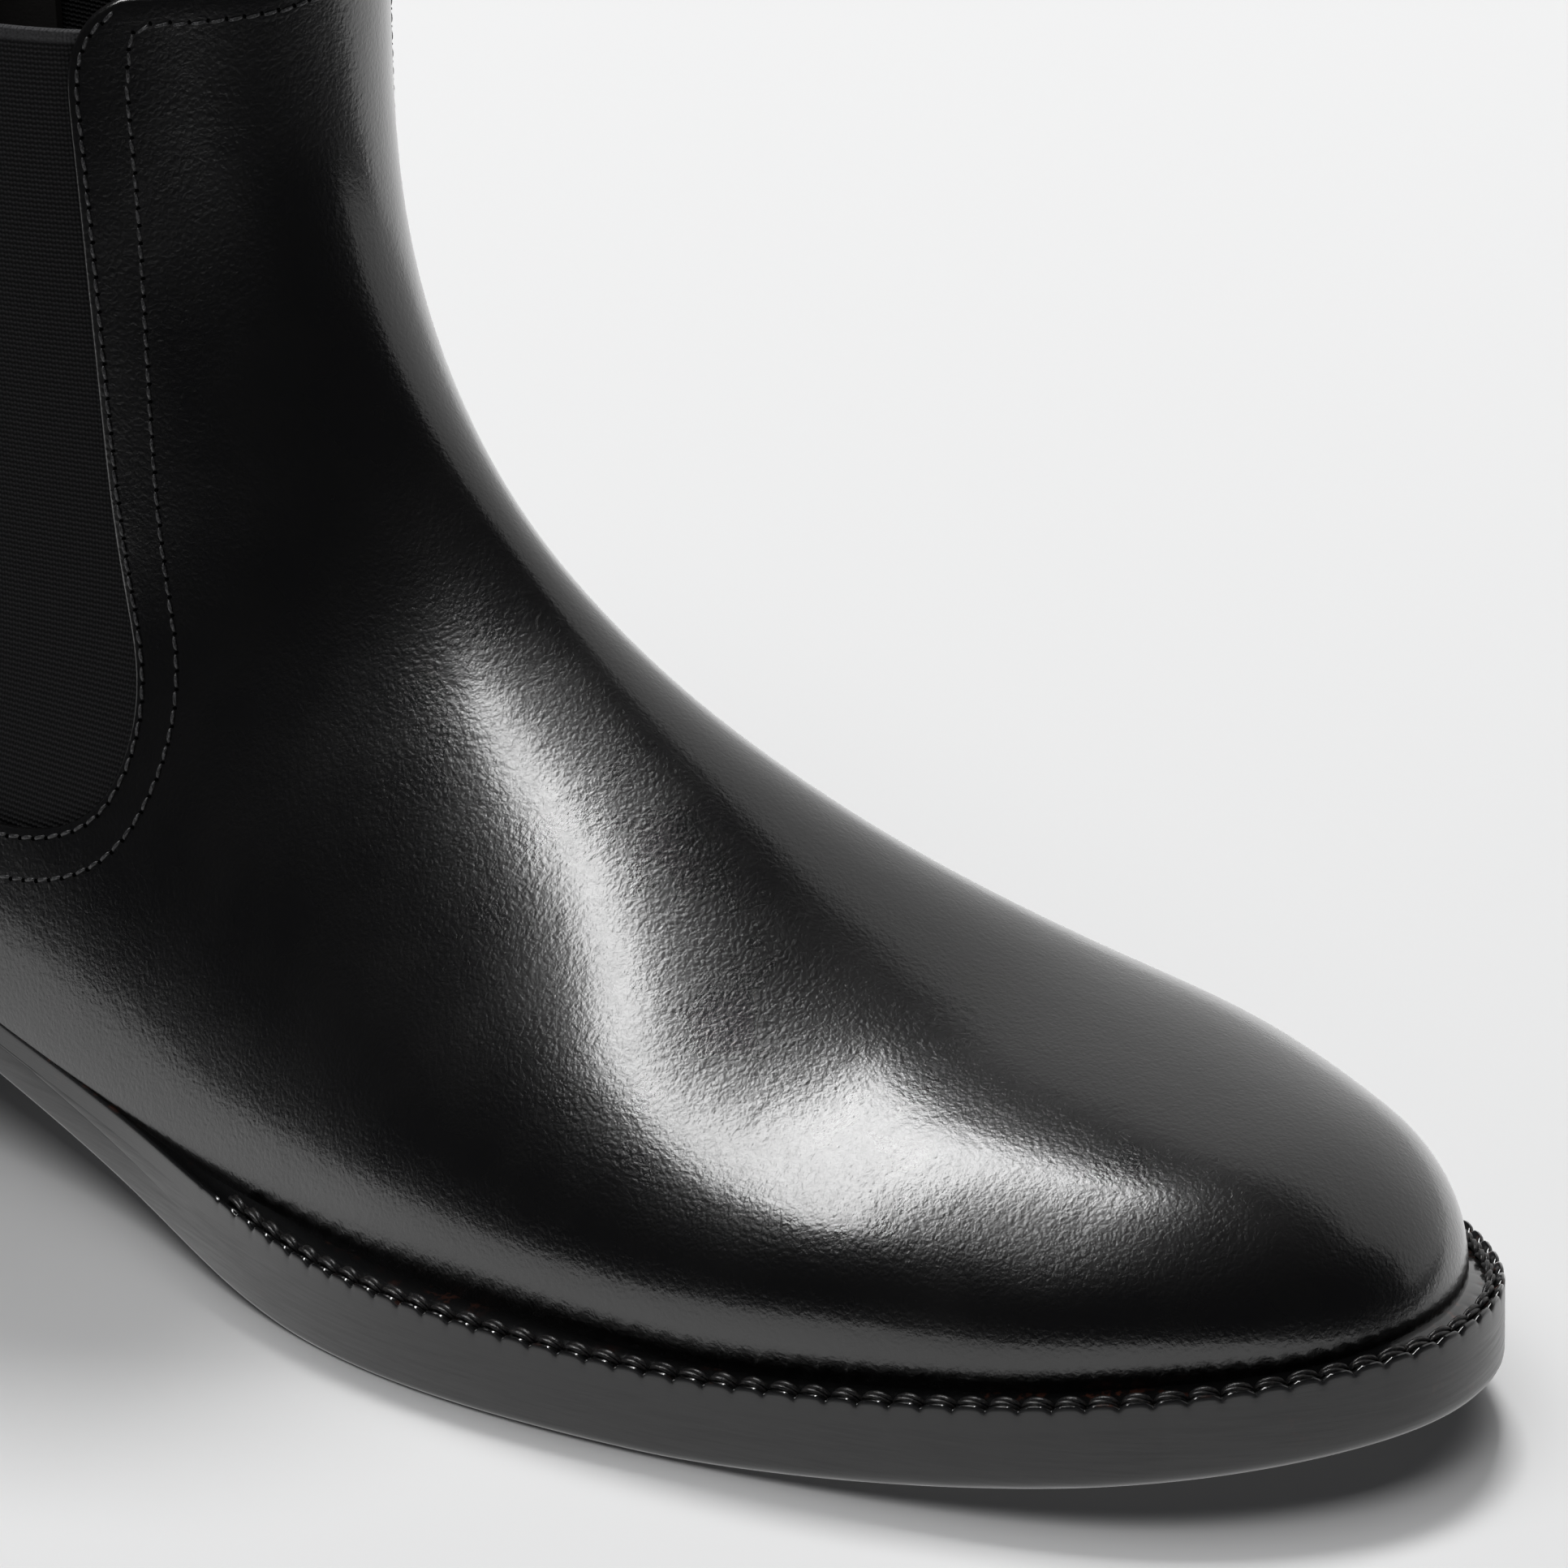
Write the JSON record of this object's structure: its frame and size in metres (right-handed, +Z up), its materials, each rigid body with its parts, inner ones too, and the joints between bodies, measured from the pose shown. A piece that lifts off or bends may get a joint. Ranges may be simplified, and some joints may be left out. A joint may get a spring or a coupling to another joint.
{
  "type": "chelsea boot",
  "caption": "Right-foot chelsea boot in polished black leather with ribbed elastic side gores, stitched welt, almond toe, low stacked heel and a back pull loop.",
  "frame": {"origin": "centre of the heel's ground contact", "axes": "+X points to the toe, +Y to the inner (medial) side of this right boot, +Z up"},
  "size_m": [0.3031, 0.1035, 0.1876],
  "materials": {
    "upper_leather": "black calf leather polished to a high shine, with fine grain",
    "elastic": "ribbed woven elastic, matt dark grey",
    "lining_leather": "smooth black lining leather, low sheen",
    "stiffener": "pressed leather board, hidden",
    "interlining": "cotton twill, hidden",
    "insole_leather": "vegetable-tanned insole leather",
    "shank_steel": "plain spring steel strip",
    "cork": "ground cork and glue",
    "welt_leather": "black waxed welt leather with a wheeled edge",
    "sole_leather": "smooth edge-dressed black sole leather, satin",
    "top_piece_rubber": "hard black rubber, satin",
    "nail_brass": "plain brass nails",
    "thread": "thick waxed black thread",
    "webbing": "black herringbone webbing"
  },
  "bodies": {
    "boot": {"vamp": "upper_leather", "quarter": "upper_leather", "gore_lateral": "elastic", "gore_medial": "elastic", "vamp_lining": "lining_leather", "quarter_lining": "lining_leather", "toe_puff": "stiffener", "vamp_interlining": "interlining", "heel_counter": "stiffener", "quarter_interlining": "interlining", "insole": "insole_leather", "sock_liner": "lining_leather", "insole_rib": "interlining", "shank": "shank_steel", "cork_filler": "cork", "welt": "welt_leather", "heel_rand": "welt_leather", "midsole": "sole_leather", "outsole": "sole_leather", "heel_lift_upper": "sole_leather", "heel_lift_middle": "sole_leather", "heel_lift_lower": "sole_leather", "heel_top_piece": "top_piece_rubber", "heel_nails": "nail_brass", "welt_stitches": "thread", "pull_tab_anchor": "webbing"},
    "pull_loop": {"pull_tab_loop": "webbing"}
  },
  "joints": [
    {"name": "pull_loop_fold", "type": "hinge", "parent": "boot", "child": "pull_loop", "pos_m": [-0.0189, 0, 0.15765], "axis": [0, 1, 0], "range_deg": [-70, 75], "stiffness_Nm_per_rad": 0.02}
  ]
}
